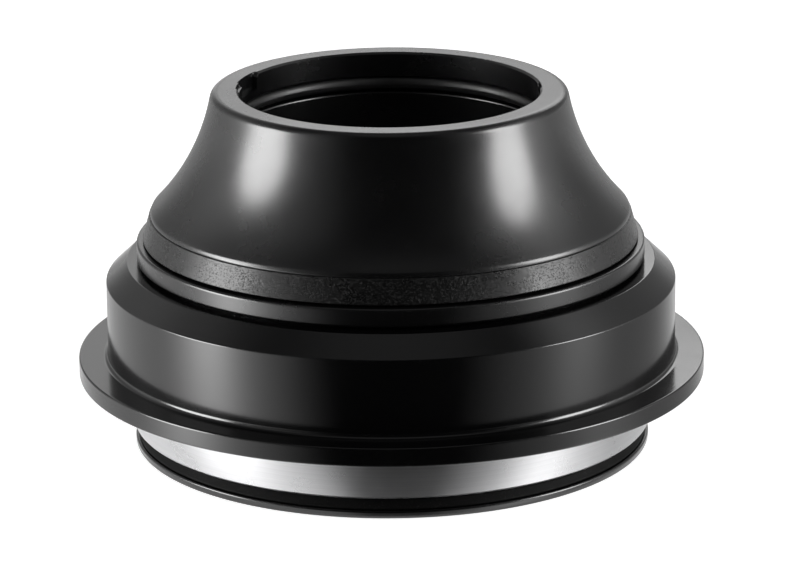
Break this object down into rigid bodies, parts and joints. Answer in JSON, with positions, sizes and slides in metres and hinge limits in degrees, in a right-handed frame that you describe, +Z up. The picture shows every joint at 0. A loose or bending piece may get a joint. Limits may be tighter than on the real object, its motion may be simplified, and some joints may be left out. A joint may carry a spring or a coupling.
{
  "type": "bicycle headset",
  "caption": "Threadless bicycle headset for a tapered steerer: flared top cover over nested upper and lower head tube cups, with sealed ball bearings and a crown race.",
  "frame": {"origin": "centre of the crown race's foot, on the steerer axis", "axes": "+Z up the steerer axis, from the fork crown to the stem"},
  "size_m": [0.0606, 0.0606, 0.0346],
  "materials": {
    "black_anodised": "black anodised, satin",
    "bare_aluminium": "turned",
    "bearing_steel": "ground and polished",
    "ball_steel": "polished",
    "seal_rubber": "moulded, matt",
    "cage_plastic": "moulded"
  },
  "bodies": {
    "frame_side": {"lower_cup": "black_anodised", "upper_cup": "black_anodised", "lower_bearing_outer_race": "bearing_steel", "upper_bearing_outer_race": "bearing_steel", "lower_bearing_seat_seal": "seal_rubber", "lower_bearing_cone_seal": "seal_rubber", "upper_bearing_seat_seal": "seal_rubber", "upper_bearing_cone_seal": "seal_rubber"},
    "cover_side": {"top_cover": "black_anodised", "steerer_o_ring": "seal_rubber", "cover_seal": "seal_rubber", "compression_ring": "bare_aluminium", "upper_bearing_inner_race": "bearing_steel"},
    "crown_side": {"crown_race": "black_anodised", "crown_race_seal": "seal_rubber", "lower_bearing_inner_race": "bearing_steel"},
    "upper_ball_ring": {"upper_bearing_balls": "ball_steel", "upper_bearing_cage": "cage_plastic"},
    "lower_ball_ring": {"lower_bearing_balls": "ball_steel", "lower_bearing_cage": "cage_plastic"}
  },
  "joints": [
    {"name": "cover_turn", "type": "hinge", "parent": "frame_side", "child": "cover_side", "pos_m": [0, 0, 0], "axis": [0, 0, 1], "continuous": true},
    {"name": "crown_turn", "type": "hinge", "parent": "frame_side", "child": "crown_side", "pos_m": [0, 0, 0], "axis": [0, 0, 1], "continuous": true},
    {"name": "upper_ball_orbit", "type": "hinge", "parent": "frame_side", "child": "upper_ball_ring", "pos_m": [0, 0, 0], "axis": [0, 0, 1], "continuous": true},
    {"name": "lower_ball_orbit", "type": "hinge", "parent": "frame_side", "child": "lower_ball_ring", "pos_m": [0, 0, 0], "axis": [0, 0, 1], "continuous": true}
  ],
  "couplings": [
    {"joint": "upper_ball_orbit", "follows": "cover_turn", "ratio": 0.4688},
    {"joint": "lower_ball_orbit", "follows": "crown_turn", "ratio": 0.47511}
  ]
}
